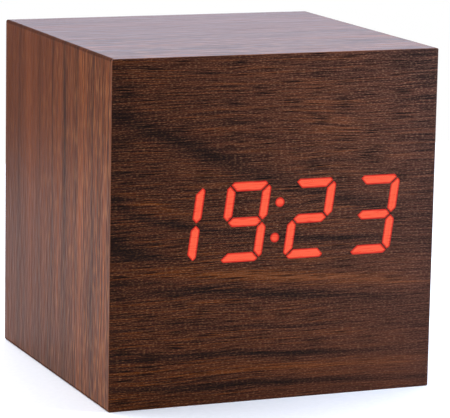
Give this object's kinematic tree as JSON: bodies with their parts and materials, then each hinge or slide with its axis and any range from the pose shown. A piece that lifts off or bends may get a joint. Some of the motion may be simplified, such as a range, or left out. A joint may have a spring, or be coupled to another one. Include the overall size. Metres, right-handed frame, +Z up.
{
  "type": "cube alarm clock",
  "caption": "Cube alarm clock with a wood-grain case, a red segment display that shines through its front, rear push buttons, a power socket and a hinged battery door.",
  "frame": {"origin": "middle of the base, on the surface that the clock stands on", "axes": "+X to the right of the front as the viewer sees it, +Y from front to back, +Z up"},
  "size_m": [0.062, 0.0582, 0.062],
  "materials": {
    "walnut_film": "satin wood-grain film",
    "lit_red": "emissive",
    "fibreboard": "matte",
    "white_plastic": "smooth",
    "circuit_board": "solder mask",
    "lamp_resin": "smooth",
    "chip_epoxy": "matte",
    "header_plastic": "smooth",
    "steel": "nickel plated",
    "ribbon_jacket": "smooth",
    "black_plastic": "fine texture",
    "plain_aluminium": "satin",
    "capacitor_sleeve": "gloss",
    "brass": "plain",
    "cell_jacket": "satin film over a metal can",
    "lead_black": "smooth",
    "lead_red": "smooth"
  },
  "bodies": {
    "case": {"wrap_film": "walnut_film", "front_film": "walnut_film", "lit_segments": "lit_red", "front_board": "fibreboard", "top_board": "fibreboard", "bottom_board": "fibreboard", "left_board": "fibreboard", "right_board": "fibreboard", "glue_blocks": "fibreboard", "diffuser_sheet": "white_plastic", "segment_reflector": "white_plastic", "display_board": "circuit_board", "control_board": "circuit_board", "segment_leds": "lamp_resin", "driver_chip": "chip_epoxy", "controller_chip": "chip_epoxy", "display_header": "header_plastic", "control_header": "header_plastic", "display_screws": "steel", "rear_screws": "steel", "control_screws": "steel", "crystal": "steel", "socket_pin": "steel", "negative_terminal": "steel", "positive_terminal": "steel", "right_link": "steel", "left_link": "steel", "contact_springs": "steel", "ribbon_cable": "ribbon_jacket", "rear_cover": "black_plastic", "buzzer": "black_plastic", "power_socket": "black_plastic", "set_switch": "black_plastic", "up_switch": "black_plastic", "down_switch": "black_plastic", "microphone": "plain_aluminium", "capacitor": "capacitor_sleeve", "socket_contact": "brass", "cell_bottom": "cell_jacket", "cell_middle": "cell_jacket", "cell_top": "cell_jacket", "negative_lead": "lead_black", "positive_lead": "lead_red"},
    "set_button": {"set_button": "black_plastic", "set_plunger": "white_plastic"},
    "up_button": {"up_button": "black_plastic", "up_plunger": "white_plastic"},
    "down_button": {"down_button": "black_plastic", "down_plunger": "white_plastic"},
    "battery_door": {"battery_door": "black_plastic"}
  },
  "joints": [
    {"name": "set_press", "type": "slide", "parent": "case", "child": "set_button", "axis": [0, -1, 0], "range_m": [0, 0.0003], "stiffness_N_per_m": 1500},
    {"name": "up_press", "type": "slide", "parent": "case", "child": "up_button", "axis": [0, -1, 0], "range_m": [0, 0.0003], "stiffness_N_per_m": 1500},
    {"name": "down_press", "type": "slide", "parent": "case", "child": "down_button", "axis": [0, -1, 0], "range_m": [0, 0.0003], "stiffness_N_per_m": 1500},
    {"name": "door_swing", "type": "hinge", "parent": "case", "child": "battery_door", "pos_m": [0, 0.02675, 0.0055], "axis": [-1, 0, 0], "range_deg": [0, 90]}
  ]
}
